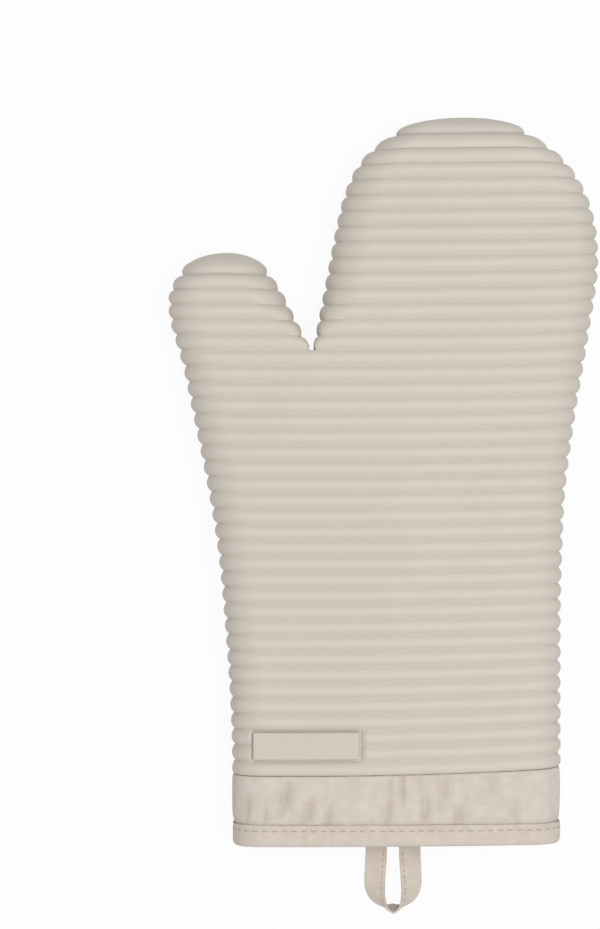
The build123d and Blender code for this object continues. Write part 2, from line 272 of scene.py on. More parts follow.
def rib_heights(first, last):
    """Heights through a run of ribs, close together at the valleys."""
    rows = []
    for rib in range(first, last):
        if rib < PALM_RIBS:
            foot, pitch = FIRST_VALLEY + rib * PALM_PITCH, PALM_PITCH
        else:
            foot, pitch = CROTCH_HEIGHT + (rib - PALM_RIBS) * FINGER_PITCH, FINGER_PITCH
        rows += [foot + part * pitch for part in RIB_PARTS]
    return rows


def closing_heights(foot, tip, steps, first=0):
    """Heights up to a round tip, closer together towards it."""
    return [foot + (tip - foot) * sin(pi / 2 * step / steps) for step in range(first, steps + 1)]


# Mesh tools

def next_row(bm, rim):
    """Draws an open rim out into a new row, and gives the row's vertices and its own rim."""
    grown = bmesh.ops.extrude_edge_only(bm, edges=rim)["geom"]
    verts = [item for item in grown if isinstance(item, bmesh.types.BMVert)]
    fresh = set(verts)
    edges = [item for item in grown if isinstance(item, bmesh.types.BMEdge)]
    return verts, [edge for edge in edges if all(vert in fresh for vert in edge.verts)]


def set_row(verts, height, around, rise, inset):
    for vert in verts:
        vert[rise] = height
        x, z = skin_point(vert[around], height, inset)
        vert.co = (x, HEM + height, MIDDLE + z)


def extrude_rows(bm, rim, heights, around, rise, inset):
    """Draws an open rim up through a list of heights and gives the last rim."""
    for height in heights:
        verts, rim = next_row(bm, rim)
        set_row(verts, height, around, rise, inset)
    return rim


def distinct(items):
    return list(dict.fromkeys(items))


def mitt_skin(palm_heights, hand_heights, thumb_heights, inset):
    """Bag in the shape of the mitt: a palm that forks into fingers and thumb with closed tips."""
    bm = bmesh.new()
    around = bm.verts.layers.float.new("around")
    rise = bm.verts.layers.float.new("rise")
    columns = arc_shares(HAND_COLUMNS)
    columns += [3 + share for share in reversed(arc_shares(THUMB_COLUMNS))]
    ring = bmesh.ops.create_circle(bm, segments=len(columns), radius=1)["verts"]
    for vert, column in zip(ring, columns):
        vert[around] = column
    set_row(ring, palm_heights[0], around, rise, inset)
    rim = extrude_rows(bm, list(bm.edges), palm_heights[1:], around, rise, inset)

    # The web across the foot of the gap, from the back to the palm face
    hand_rim = [e for e in rim if all(v[around] <= 1 for v in e.verts)]
    thumb_rim = [e for e in rim if all(v[around] >= 3 for v in e.verts)]
    ends = [e for e in rim if e not in hand_rim and e not in thumb_rim]
    bmesh.ops.bridge_loops(bm, edges=ends)
    rim_verts = {v for e in rim for v in e.verts}
    end_verts = {v for e in ends for v in e.verts}
    stays = [e for e in bm.edges if all(v in end_verts for v in e.verts) and e not in ends]
    for stay in stays:
        first_column = 1 if stay.verts[0][around] <= 2 else 4
        foot, top = sorted(v.co.z for v in stay.verts)
        cut = bmesh.ops.subdivide_edges(bm, edges=[stay], cuts=INNER_STEPS - 1)
        for vert in cut["geom_inner"]:
            if isinstance(vert, bmesh.types.BMVert) and vert not in rim_verts:
                vert[around] = first_column + (vert.co.z - foot) / (top - foot)
                vert[rise] = palm_heights[-1]
    web_verts = [v for v in bm.verts if 1 < v[around] < 2 or 4 < v[around] < 5]
    left = sorted((v for v in web_verts if v[around] > 4), key=lambda v: v.co.z)
    right = sorted((v for v in web_verts if v[around] < 2), key=lambda v: v.co.z)
    for a, b in zip(left, right):
        bmesh.ops.connect_verts(bm, verts=[a, b])

    def side_rim(on_side):
        """Edges of the web along one finger, with the two that reach its corners."""
        edges = distinct(e for v in web_verts if on_side(v) for e in v.link_edges)
        return [e for e in edges if all(on_side(v) for v in e.verts)]

    hand_rim += side_rim(lambda v: v[around] <= 2)
    thumb_rim += side_rim(lambda v: v[around] > 2)
    for rim, heights in ((hand_rim, hand_heights), (thumb_rim, thumb_heights)):
        last = extrude_rows(bm, rim, heights, around, rise, inset)
        tips = distinct(v for e in last for v in e.verts)
        bmesh.ops.remove_doubles(bm, verts=tips, dist=TIP_MERGE)
    open_tips = [e for e in bm.edges if e.is_boundary and e.verts[0][rise] > CROTCH_HEIGHT]
    bmesh.ops.holes_fill(bm, edges=open_tips, sides=0)
    bmesh.ops.recalc_face_normals(bm, faces=bm.faces)
    return bm, around, rise


def finished(bm, name, material, smooth=True):
    """Object made from a shape drawn in millimetres."""
    bmesh.ops.scale(bm, vec=(MM, MM, MM), verts=bm.verts)
    mesh = bpy.data.meshes.new(name)
    bm.to_mesh(mesh)
    bm.free()
    for face in mesh.polygons:
        face.use_smooth = smooth
    mesh.materials.append(material)
    piece = bpy.data.objects.new(name, mesh)
    bpy.context.scene.collection.objects.link(piece)
    return piece


def thicken(piece, thickness):
    """Wall under the drawn surface."""
    wall = piece.modifiers.new("wall", "SOLIDIFY")
    wall.thickness = thickness * MM
    wall.offset = -1


def lay_uv(bm, along, across, wrap=None):
    """UV map in millimetres from two vertex layers, closed up where the first runs round."""
    uv = bm.loops.layers.uv.new("cloth")
    for face in bm.faces:
        start = max(loop.vert[along] for loop in face.loops)
        for loop in face.loops:
            place = loop.vert[along]
            if wrap and start - place > wrap / 2:
                place += wrap
            loop[uv].uv = (place, loop.vert[across])


def surface(bm):
    """Area of a drawn shape in square metres."""
    return sum(face.calc_area() for face in bm.faces) * MM * MM


# Finishes

class Value:
    """Socket of a material. Sums and products on it add Math nodes."""

    def __init__(self, finish, socket):
        self.finish = finish
        self.socket = socket

    def sum(self, operation, first, second):
        return self.finish.node("ShaderNodeMath", {"operation": operation}, {0: first, 1: second})

    def __add__(self, other):
        return self.sum("ADD", self, other)

    def __radd__(self, other):
        return self.sum("ADD", other, self)

    def __sub__(self, other):
        return self.sum("SUBTRACT", self, other)

    def __rsub__(self, other):
        return self.sum("SUBTRACT", other, self)

    def __mul__(self, other):
        return self.sum("MULTIPLY", self, other)

    def __rmul__(self, other):
        return self.sum("MULTIPLY", other, self)


class Finish:
    """Material of one finish, whose nodes are added by type, settings and sockets."""

    def __init__(self, name, roughness, specular=0.3, sheen=0.0):
        self.material = bpy.data.materials.new(name)
        self.material.use_nodes = True
        self.tree = self.material.node_tree
        self.shader = self.tree.nodes["Principled BSDF"]
        self.shader.inputs["Roughness"].default_value = roughness
        self.shader.inputs["Specular IOR Level"].default_value = specular
        self.shader.inputs["Sheen Weight"].default_value = sheen
        self.shader.inputs["Sheen Roughness"].default_value = 0.6

    def node(self, kind, settings=None, sockets=None, output=0):
        made = self.tree.nodes.new(kind)
        for setting, value in (settings or {}).items():
            setattr(made, setting, value)
        for socket, value in (sockets or {}).items():
            if isinstance(value, Value):
                self.tree.links.new(value.socket, made.inputs[socket])
            else:
                made.inputs[socket].default_value = value
        return Value(self, made.outputs[output])

    def feed(self, socket, value):
        self.tree.links.new(value.socket, self.shader.inputs[socket])

    def objects(self):
        return self.node("ShaderNodeTexCoord", output="Object")

    def speckle(self, scale, detail=2.0, vector=None, roughness=0.5):
        sockets = {"Vector": vector or self.objects(), "Scale": scale, "Detail": detail,
                   "Roughness": roughness}
        return self.node("ShaderNodeTexNoise", {}, sockets, "Fac")

    def mapped(self, vector, **sockets):
        return self.node("ShaderNodeMapping", {}, {"Vector": vector, **sockets})

    def wave(self, value):
        return self.node("ShaderNodeMath", {"operation": "SINE"}, {0: value})

    def mix(self, share, dark, light):
        sockets = {"Factor": share, 6: dark, 7: light}
        return self.node("ShaderNodeMix", {"data_type": "RGBA"}, sockets, 2)

    def bump(self, height, strength, distance):
        sockets = {"Height": height, "Strength": strength, "Distance": distance}
        return self.node("ShaderNodeBump", {}, sockets, "Normal")


def colour(red, green, blue):
    """Linear colour from screen values of 0 to 255."""
    def linear(value):
        value /= 255
        return value / 12.92 if value <= 0.04045 else ((value + 0.055) / 1.055) ** 2.4
    return (linear(red), linear(green), linear(blue), 1.0)


# Dark and light tone of each finish
SILICONE_TONES = (colour(206, 198, 186), colour(213, 205, 194))
# The plate's tones are the silicone's, painted darker as shade for its flat top that faces the
# light
PLATE_SHADED_TONES = (colour(199, 191, 179), colour(206, 198, 187))
CUFF_TONES = (colour(200, 188, 176), colour(233, 224, 215))
BINDING_TONES = (colour(197, 183, 171), colour(232, 222, 212))
LOOP_TONES = (colour(200, 187, 173), colour(235, 226, 215))
LINING_TONES = (colour(205, 195, 182), colour(224, 216, 206))
THREAD_TONES = (colour(172, 157, 143), colour(206, 194, 181))
WADDING_TONES = (colour(222, 218, 210), colour(246, 244, 240))
WEAVE_RELIEF = 0.00012
SLUB_LONG, SLUB_SHORT = 0.06, 0.9  # streaks per millimetre along and across a thread


def moulded_silicone(name, tones):
    finish = Finish(name, 0.52, 0.3)
    cloud = finish.speckle(16, 3)
    grain = finish.speckle(420, 4)
    finish.feed("Base Color", finish.mix(cloud * 0.7 + grain * 0.3, *tones))
    finish.feed("Roughness", 0.44 + 0.16 * grain)
    finish.feed("Normal", finish.bump(finish.speckle(1800, 3), 0.12, 0.0002))
    return finish.material


def woven(name, thread, tones, slub=0.5, turn=0.0, sheen=0.15, painted_crease_shade=0.0):
    """Plain weave on the piece's own UV map, with threads of a width in millimetres.

    Cloth with painted crease shade is darkened along the folds that its mesh names, as painted
    shade.
    """
    finish = Finish(name, 0.9, 0.1, sheen)
    place = finish.node("ShaderNodeUVMap", {"uv_map": "cloth"})
    turned = finish.mapped(place, Rotation=(0, 0, turn))
    warp = finish.node("ShaderNodeSeparateXYZ", {}, {0: turned})
    weft = Value(finish, warp.socket.node.outputs[1])
    step = pi / thread
    threads = 0.5 + 0.5 * (finish.wave(warp * step) * finish.wave(weft * step))
    streak = finish.speckle(1.0, 3, finish.mapped(turned, Scale=(SLUB_SHORT, SLUB_LONG, 1)))
    cross = finish.speckle(1.0, 3, finish.mapped(turned, Scale=(SLUB_LONG, SLUB_SHORT, 1)))
    slubs = (streak + cross) * slub
    fuzz = finish.speckle(900, 3)
    cloud = finish.speckle(220, 3)
    tone = threads * 0.18 + slubs * 0.3 + fuzz * 0.25 + (cloud - 0.5) * 0.6 + 0.02
    if painted_crease_shade:
        # Painted shade: the tone is darkened along the folds named in the mesh, standing in for
        # shade in the creases
        fold_shade = finish.node("ShaderNodeAttribute", {"attribute_name": "fold_shade"}, output="Fac")
        tone = tone - painted_crease_shade * fold_shade
    finish.feed("Base Color", finish.mix(tone, *tones))
    finish.feed("Roughness", 0.82 + 0.14 * fuzz)
    relief = threads * 0.6 + slubs * 0.4 + fuzz * 0.3
    finish.feed("Normal", finish.bump(relief, 0.55, WEAVE_RELIEF))
    return finish.material


def spun_thread():
    finish = Finish("spun_thread", 0.7, 0.2, 0.1)
    x = finish.node("ShaderNodeSeparateXYZ", {}, {0: finish.objects()})
    y = Value(finish, x.socket.node.outputs[1])
    lay = finish.wave((x + y) * 9000)
    fuzz = finish.speckle(1500, 2)
    finish.feed("Base Color", finish.mix(0.35 + 0.2 * lay + 0.4 * fuzz, *THREAD_TONES))
    finish.feed("Normal", finish.bump(lay, 0.4, 0.0001))
    return finish.material


def needled_wadding():
    finish = Finish("needled_wadding", 0.95, 0.05, 0.2)
    fibre = finish.speckle(300, 6, roughness=0.7)
    tuft = finish.speckle(60, 3)
    finish.feed("Base Color", finish.mix(fibre * 0.6 + tuft * 0.4, *WADDING_TONES))
    finish.feed("Normal", finish.bump(fibre, 0.6, 0.0006))
    return finish.material


silicone = moulded_silicone("moulded_silicone", SILICONE_TONES)
# Same moulded silicone for the plate, with painted shade making it darker
shaded_plate_silicone = moulded_silicone("shaded_plate_silicone", PLATE_SHADED_TONES)
# Cuff cloth with painted shade along its folds
cuff_cloth = woven("cuff_cloth", 0.5, CUFF_TONES, painted_crease_shade=0.38)
bias_tape = woven("bias_tape", 0.5, BINDING_TONES, turn=radians(45))
loop_tape = woven("loop_tape", 0.55, LOOP_TONES, turn=radians(45))
lining_cloth = woven("lining_cloth", 0.7, LINING_TONES, slub=0.8, sheen=0.4)
thread = spun_thread()
wadding_fill = needled_wadding()


# Silicone shell with a bare plate in a slot over two ribs

PLATE_LEFT, PLATE_RIGHT = -58.8, -10.9
PLATE_FOOT, PLATE_TOP = 40.2, 52.6
PLATE_MIDDLE = (PLATE_LEFT + PLATE_RIGHT) / 2
PLATE_THICKNESS = 2.0
PLATE_SINK = 0.6  # middle of the plate under the crests
PLATE_ROUND = 0.7
PLATE_SLOT = 1.1  # gap between the plate's ends and the ribs
SLOT_DEPTH = 2.2
SLOT_WALL = 0.25  # half thickness of the rib ends beside the slot
SLOT_FOOT = FIRST_VALLEY + PALM_PITCH
SLOT_TOP = SLOT_FOOT + 2 * PALM_PITCH
SLOT_EDGE = 0.1  # room kept to the valleys above and below the slot
SLOT_ZONE = (36, 58)  # heights between which the ribs get clean ends
FACING_UP = 0.8


def rib_share(height, cap):
    """Place within its rib, 0 and 1 at the valleys; the last rib of a finger ends on its crest."""
    if height < CROTCH_HEIGHT:
        return ((height - FIRST_VALLEY) / PALM_PITCH) % 1
    if height >= cap:
        return min((height - cap) / FINGER_PITCH, 0.5)
    return ((height - CROTCH_HEIGHT) / FINGER_PITCH) % 1


def rib_inset(height, cap, facing):
    """Depth under the crests: round ribs at the sides, flat ones with open valleys on the faces."""
    if height < RIB_FOOT[-1][0]:
        return through(RIB_FOOT, height)
    roll = abs(2 * rib_share(height, cap) - 1)
    lobe = SIDE_DEPTH * roll**2.2
    valley = FACE_DEPTH * clamp((roll - FACE_CREST) / (1 - FACE_CREST)) ** 1.2
    return lobe + (valley - lobe) * facing**4


def silicone_shell():
    palm = [height for height, inset in RIB_FOOT]
    palm += [height for height in rib_heights(0, PALM_RIBS) if height > palm[-1]]
    hand = rib_heights(PALM_RIBS, PALM_RIBS + FINGER_RIBS - 1)[1:]
    hand += closing_heights(HAND_CAP, TIP_HEIGHT, 12)
    thumb = rib_heights(PALM_RIBS, PALM_RIBS + THUMB_RIBS)[1:]
    thumb += closing_heights(THUMB_CAP, THUMB_TIP_HEIGHT, 14)
    bm, around, rise = mitt_skin(palm + [CROTCH_HEIGHT], hand, thumb, 0.0)

    # Clean ends for the ribs beside the plate
    low, high = SLOT_ZONE
    slot_ends = (PLATE_LEFT - PLATE_SLOT, PLATE_RIGHT + PLATE_SLOT)
    for x in (end + side for end in slot_ends for side in (-SLOT_WALL, SLOT_WALL)):
        faces = [f for f in bm.faces
                 if low < f.calc_center_median().y - HEM < high and f.normal.z > FACING_UP]
        near = faces + distinct(e for f in faces for e in f.edges)
        near += distinct(v for f in faces for v in f.verts)
        bmesh.ops.bisect_plane(bm, geom=near, plane_co=(x, 0, 0), plane_no=(1, 0, 0))
    bm.normal_update()
    reach = (PLATE_RIGHT - PLATE_LEFT) / 2 + PLATE_SLOT
    moved = []
    for vert in bm.verts:
        height, facing = vert[rise], vert.normal.z
        inset = rib_inset(height, HAND_CAP if vert[around] <= 2 else THUMB_CAP, facing)
        in_slot = SLOT_FOOT + SLOT_EDGE < height < SLOT_TOP - SLOT_EDGE
        if facing > FACING_UP and in_slot and abs(vert.co.x - PLATE_MIDDLE) < reach:
            inset = SLOT_DEPTH
        moved.append((vert, vert.co - vert.normal * inset))
    for vert, place in moved:
        vert.co = place + Vector((0, lie(place.x, vert[rise]), 0))
    piece = finished(bm, "ribbed_shell", silicone)
    thicken(piece, SHELL_WALL)
    return piece


def soften(bm, edges, offset, segments):
    bmesh.ops.bevel(bm, geom=edges, offset=offset, segments=segments, profile=0.5,
                    affect="EDGES", material=-1)


def bare_plate():
    """Raised plate over two ribs, with soft edges."""
    bm = bmesh.new()
    bmesh.ops.create_cube(bm, size=1)
    size = (PLATE_RIGHT - PLATE_LEFT, PLATE_TOP - PLATE_FOOT, PLATE_THICKNESS)
    bmesh.ops.scale(bm, vec=size, verts=bm.verts)
    upright = [e for e in bm.edges if abs(e.verts[0].co.z - e.verts[1].co.z) > PLATE_THICKNESS / 2]
    soften(bm, upright, PLATE_ROUND, 4)
    top = [e for e in bm.edges if all(v.co.z > 0.45 * PLATE_THICKNESS for v in e.verts)]
    soften(bm, top, PLATE_ROUND, 5)
    whole = list(bm.verts) + list(bm.edges) + list(bm.faces)
    bmesh.ops.bisect_plane(bm, geom=whole, plane_co=(0, 0, 0), plane_no=(1, 0, 0))
    middle = (PLATE_MIDDLE, HEM + (PLATE_FOOT + PLATE_TOP) / 2, 2 * MIDDLE - PLATE_SINK)
    bmesh.ops.translate(bm, vec=middle, verts=bm.verts)
    for vert in bm.verts:
        vert.co.y += lie(vert.co.x, vert.co.y - HEM)
    bmesh.ops.recalc_face_normals(bm, faces=bm.faces)
    return finished(bm, "bare_plate", shaded_plate_silicone, smooth=False)


shell = silicone_shell()
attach(shell, "mitt")
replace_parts(shell, "silicone_shell")
plate = bare_plate()
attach(plate, "mitt")


# Wadding and lining, drawn as the shell is but without ribs

WADDING_INSET, WADDING_THICKNESS = 2.9, 2.0
LINING_INSET, LINING_THICKNESS = 5.5, 0.8
WADDING_FOOT, LINING_FOOT = SEAM_HEIGHT - 0.3, 1.4
HEM_INSET = 2.4  # of the lining where it is sewn into the hem
TUCK_HEIGHT = 24.0
WEB_HEIGHT = 6.0  # how far the layers give way round the foot of the gap
RIPPLE, MOST_RIPPLE = 0.3, 0.2


def tuck(inset, height):
    """How far a layer comes out towards the cloth of the cuff below the seam."""
    return max(inset - HEM_INSET, 0) * clamp((SEAM_HEIGHT - height) / TUCK_HEIGHT)


def layer(name, material, inset, thickness, foot):
    palm = [foot, (foot + SEAM_HEIGHT) / 2]
    palm += [SEAM_HEIGHT + (CROTCH_HEIGHT - inset - SEAM_HEIGHT) * n / 12 for n in range(12)]
    palm.append(CROTCH_HEIGHT)
    hand = closing_heights(CROTCH_HEIGHT, TIP_HEIGHT - inset, 24, 1)
    thumb = closing_heights(CROTCH_HEIGHT, THUMB_TIP_HEIGHT - inset, 14, 1)
    bm, around, rise = mitt_skin(palm, hand, thumb, inset)
    bm.normal_update()
    for vert, place in [(v, v.co.copy()) for v in bm.verts]:
        height = vert[rise]
        ripple = RIPPLE * noise.noise(place * 0.06) * clamp((height - 30) / 20)
        swell = tuck(inset, height) + min(ripple, MOST_RIPPLE)
        in_gap = 1 < vert[around] < 2 or vert[around] > 4
        web = -inset * clamp(1 - abs(height - CROTCH_HEIGHT) / WEB_HEIGHT) if in_gap else 0
        vert.co = place + vert.normal * swell + Vector((0, web + lie(place.x, height), 0))
    across = bm.verts.layers.float.new("across")
    upward = bm.verts.layers.float.new("upward")
    for vert in bm.verts:
        vert[across] = vert.co.x
        vert[upward] = vert.co.y
    lay_uv(bm, across, upward)
    area = surface(bm)
    piece = finished(bm, name, material)
    thicken(piece, thickness)
    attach(piece, "mitt")
    return piece, area


wadding, _ = layer("wadding_bag", wadding_fill, WADDING_INSET, WADDING_THICKNESS, WADDING_FOOT)
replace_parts(wadding, "palm_wadding", "back_wadding")
lining, lining_area = layer("lining_bag", lining_cloth, LINING_INSET, LINING_THICKNESS, LINING_FOOT)
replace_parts(lining, "palm_lining", "back_lining")
lining_area / 0.33


# Cuff, binding and stitches follow the rounded rectangle of the cuff

CUFF_WIDTH = CUFF_RIGHT - CUFF_LEFT
CUFF_MIDDLE = (CUFF_LEFT + CUFF_RIGHT) / 2
STRAIGHT = CUFF_WIDTH - 2 * SIDE_ROUND
UPRIGHT = 2 * HALF_THICKNESS - 2 * SIDE_ROUND
QUARTER = SIDE_ROUND * pi / 2
CUFF_ROUND = 2 * STRAIGHT + 2 * UPRIGHT + 4 * QUARTER
HEM_LIFT_HEIGHT = 11.0  # below this the hem is lifted at its corners and on the palm side
CORNER_LIFT, FACE_LIFT = 1.6, 1.1


def cuff_point(place):
    """Point round the cuff, at a distance along it from the thumb side, and the way out there."""
    place %= CUFF_ROUND
    corners = ((1, -1, 270), (1, 1, 0), (-1, 1, 90), (-1, -1, 180))
    for turn, (side, up, start) in enumerate(corners):
        run = UPRIGHT if turn % 2 else STRAIGHT
        tangent = Vector((cos(radians(start + 90)), 0, sin(radians(start + 90))))
        outward = Vector((cos(radians(start)), 0, sin(radians(start))))
        centre = Vector((CUFF_MIDDLE + side * STRAIGHT / 2, 0, MIDDLE + up * UPRIGHT / 2))
        if place <= run:
            return centre + outward * SIDE_ROUND - tangent * (run - place), outward
        place -= run
        if place <= QUARTER:
            angle = radians(start) + place / SIDE_ROUND
            outward = Vector((cos(angle), 0, sin(angle)))
            return centre + outward * SIDE_ROUND, outward
        place -= QUARTER
    return cuff_point(0)


def tube(name, material, columns, rows, shape):
    """Cloth round the cuff, drawn row by row, and its area.

    shape gives the height and inset of a row at a distance along the cuff.
    """
    bm = bmesh.new()
    along = bm.verts.layers.float.new("along")
    across = bm.verts.layers.float.new("across")

    def set_places(verts, row):
        for vert in verts:
            height, inset = shape(row, vert[along])
            point, outward = cuff_point(vert[along])
            spot = point - outward * inset
            low = clamp(1 - height / HEM_LIFT_HEIGHT)
            sideways = clamp(abs(2 * (spot.x - CUFF_MIDDLE) / CUFF_WIDTH))
            lift = CORNER_LIFT * sideways**36 * low
            lift += FACE_LIFT * clamp((spot.z - MIDDLE) / HALF_THICKNESS) * low
            vert.co = (spot.x, HEM + height + lie(spot.x, height) + lift, spot.z)

    ring = bmesh.ops.create_circle(bm, segments=columns, radius=1)["verts"]
    for index, vert in enumerate(ring):
        vert[along] = CUFF_ROUND * index / columns
    set_places(ring, rows[0])
    rim = list(bm.edges)
    run = 0.0
    for before, row in zip(rows, rows[1:]):
        verts, rim = next_row(bm, rim)
        run += hypot(row[0] - before[0], row[1] - before[1])
        for vert in verts:
            vert[across] = run
        set_places(verts, row)
    bmesh.ops.recalc_face_normals(bm, faces=bm.faces)
    lay_uv(bm, along, across, CUFF_ROUND)
    area = surface(bm)
    return finished(bm, name, material), area


# Folds in the cuff on the palm side: upper and lower end as (x, height), half width and depth
FOLDS = [
    ((-43, 32), (-47, 12), 2.7, 2.6), ((-32.5, 24), (-36, 9), 2.2, 2.3),
    ((8, 37), (8.2, 19), 1.2, 2.3), ((2.5, 36), (1.5, 22), 1.8, 1.2),
    ((3, 24), (0.5, 9), 2.6, 2.2), ((19.5, 26), (17, 9), 2.1, 2.3),
    ((34.5, 21), (32.5, 8), 1.9, 2.2), ((-61.5, 26), (-64, 9), 2.1, 2.0),
    ((27, 36), (25, 16), 2.7, 1.6), ((15.5, 37), (16, 24), 1.8, 1.2),
    ((-53, 23), (-54.5, 9), 1.9, 1.6), ((-24, 21), (-26, 8), 2.1, 1.7),
    ((-14, 37), (-13, 22), 2.7, 1.2), ((48, 36), (47, 18), 3.6, 1.2),
    ((58, 22), (59, 8), 2.7, 1.2),
]
# Folds this deep get the darkest painted shade on the cuff
DEEP_FOLD = 2.3  # folds this deep are darkest
BAND_COLUMNS = 480
CLOTH_THICKNESS = 0.4
CLOTH_ROOM = 1.1  # kept between the folds and the lining
CUFF_SLACK, CUFF_BULGE, MOST_BULGE = 1.7, 0.1, 0.4
BOUND_HEIGHT, BOUND_INSET = 10, 1.6  # below and behind these the band is held by the binding
BAND_ROWS = [
    (30.2, 2.35), (31.8, 2.2), (32.5, 1.9), (32.75, 1.5), (32.7, 1.05), (32.35, 0.7), (31.6, 0.48),
    (30, 0.4), (28, 0.4), (26, 0.4), (24, 0.4), (22, 0.4), (20, 0.4), (18, 0.42), (16, 0.48),
    (14, 0.6), (12.6, 0.9), (11.6, 1.3), (10.9, 1.55), (10, 1.6), (7, 1.6), (4, 1.6), (1.2, 1.6),
]


def crease(place, height, seed):
    """Soft upright unevenness of cloth."""
    broad = Vector((place * 0.055, height * 0.012, seed))
    fine = Vector((place * 0.16, height * 0.05, seed + 5))
    return 0.6 * noise.noise(broad) + 0.4 * noise.noise(fine)


def folds(x, height):
    depth = 0.0
    for (top_x, top), (foot_x, foot), width, fold_depth in FOLDS:
        share = clamp((height - foot) / (top - foot))
        away = (x - foot_x - (top_x - foot_x) * share) / width
        depth += fold_depth * sin(pi * share) * exp(-(abs(away) ** 1.3))
    return depth


def band_shape(row, place):
    height, inset = row
    if height < BOUND_HEIGHT or inset > BOUND_INSET:
        return row
    point, outward = cuff_point(place)
    free = clamp((height - 9) / 4) * clamp((34 - height) / 4)
    depth = folds(point.x, height) * clamp(outward.z)
    depth += (CUFF_SLACK * crease(place, height, 2.0) - CUFF_BULGE) * free
    deepest = LINING_INSET - tuck(LINING_INSET, height) - CLOTH_ROOM
    return height, inset + min(max(depth, -MOST_BULGE), deepest)


cuff, cuff_area = tube("cuff_cloth_band", cuff_cloth, BAND_COLUMNS, BAND_ROWS, band_shape)
# Painted shade in the cuff's folds, stored per vertex from their depth on the palm side
fold_shade_layer = cuff.data.attributes.new("fold_shade", "FLOAT", "POINT")
for vert, depth in zip(cuff.data.vertices, fold_shade_layer.data):
    x, y, z = vert.co / MM
    fold_shade = folds(x, y - HEM - lie(x, y - HEM)) if z > MIDDLE else 0.0
    depth.value = clamp(fold_shade / DEEP_FOLD)
thicken(cuff, CLOTH_THICKNESS)
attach(cuff, "mitt")
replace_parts(cuff, "cuff_band")
CUFF_ROUND * MM
cuff_area / (CUFF_ROUND * MM)

STITCHES = 79
STITCH_PITCH = CUFF_ROUND / STITCHES
STITCH_HEIGHT = 8.2
STITCH_SKEW = 0.12
TAPE_PLY = 0.35  # thickness of the binding
PINCH, PINCH_SWING = 0.34, 0.3  # depth of the tape along its stitches, and how far it swings
TAPE_SLACK, EDGE_WAVER = 0.16, 0.25
EDGE_HEIGHT = 9  # rows above this follow the uneven edge
BINDING_BACK = 2  # rows deeper than this lie inside the mouth
BINDING_ROWS = [
    (10.5, 1.05), (10.9, 0.75), (10.6, 0.5), (9.6, 0.42), (8.9, 0.42), (8.2, 0.42), (7.5, 0.42),
    (6.6, 0.4), (5, 0.36), (3, 0.36), (1.4, 0.42), (0.5, 0.75), (0.05, 1.4), (0.05, 2.0),
    (0.5, 2.55), (1.6, 2.85), (4, 2.95), (7, 2.95), (9.6, 2.95),
]


def binding_shape(row, place):
    """Tape folded over the hem, pinched by its stitches and uneven along its edge."""
    height, inset = row
    if inset >= BINDING_BACK:
        return row
    near_row = exp(-((height - STITCH_HEIGHT) ** 2))
    pinch = PINCH + PINCH_SWING * cos(2 * pi * place / STITCH_PITCH)
    slack = TAPE_SLACK * crease(place * 1.3, height, 9.0)
    edge = EDGE_WAVER * noise.noise(Vector((place * 0.05, 0, 3))) if height > EDGE_HEIGHT else 0
    return height + edge, inset + near_row * pinch + slack


binding, binding_area = tube(
    "hem_binding_tape", bias_tape, STITCHES * 4, BINDING_ROWS, binding_shape)
thicken(binding, TAPE_PLY)
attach(binding, "mitt")
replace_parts(binding, "hem_binding")
CUFF_ROUND * MM
binding_area / (CUFF_ROUND * MM)


def bead(bm, size, spot, directions):
    """Stitch drawn as a flattened bead, its sizes along three directions."""
    made = bmesh.ops.create_uvsphere(bm, u_segments=8, v_segments=6, radius=1)["verts"]
    bmesh.ops.scale(bm, vec=size, verts=made)
    turned = Matrix(directions).transposed().to_4x4()
    bmesh.ops.transform(bm, matrix=Matrix.Translation(spot) @ turned, verts=made)


def stitch_row(name, count, height, inset, length, thickness):
    """Row of short stitches round the cuff, along the cloth."""
    bm = bmesh.new()
    size = (thickness / 2, thickness / 2 * 0.8, length / 2)
    for stitch in range(count):
        point, outward = cuff_point(CUFF_ROUND * (stitch + 0.5) / count)
        spot = point - outward * inset
        spot = Vector((spot.x, HEM + height + lie(spot.x, height), spot.z))
        skew = STITCH_SKEW * noise.noise(Vector((stitch * 1.7, 0, 0)))
        bead(bm, size, spot, (Vector((0, 1, 0)), outward, Vector((-outward.z, skew, outward.x))))
    bmesh.ops.recalc_face_normals(bm, faces=bm.faces)
    piece = finished(bm, name, thread)
    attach(piece, "mitt")
    return piece


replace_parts(stitch_row("hem_stitch_row", STITCHES, STITCH_HEIGHT, 0.55, 2.7, 0.7), "hem_stitches")
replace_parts(stitch_row("flange_stitch_row", 66, 29.3, 3.2, 3.0, 0.4), "flange_stitches")


# Hanging loop: flat tape at the hem that turns on edge round the foot of the loop

LOOP_X = 5.0
TAPE_WIDTH, TAPE_THICKNESS = 9.8, 1.4
LEG_SPACING, LEG_SPREAD = 15.4, 16.8
HINGE_Y, HINGE_Z = -149.5, 4.0
LOOP_DROP = 33.0
BEND_HEIGHT, BEND_TILT = 10.5, radians(18)
LEG_FOOT = HINGE_Y - 3.0
LEG_SHARE, LEG_TURN = 0.4, radians(20)
LOOP_STEPS = 44
FLOOR_GAP = 0.15
END_TURNS = (80, 60, 40, 20, 0)  # degrees round the folded ends at the hem
TAPE_COLUMNS = 32
EDGE_ROW = 3.3  # stitches from the middle of the tape
EDGE_STITCH = (0.24, 0.2, 0.95)
EDGE_PITCH, EDGE_START = 2.7, 5.0
EDGE_SINK = 0.16
GROOVE_DEPTH, GROOVE_WIDTH = 0.2, 0.5
TAIL_LENGTH, TAIL_MIDDLE = 9.25, 4.375
TAIL_ROUND = 0.3


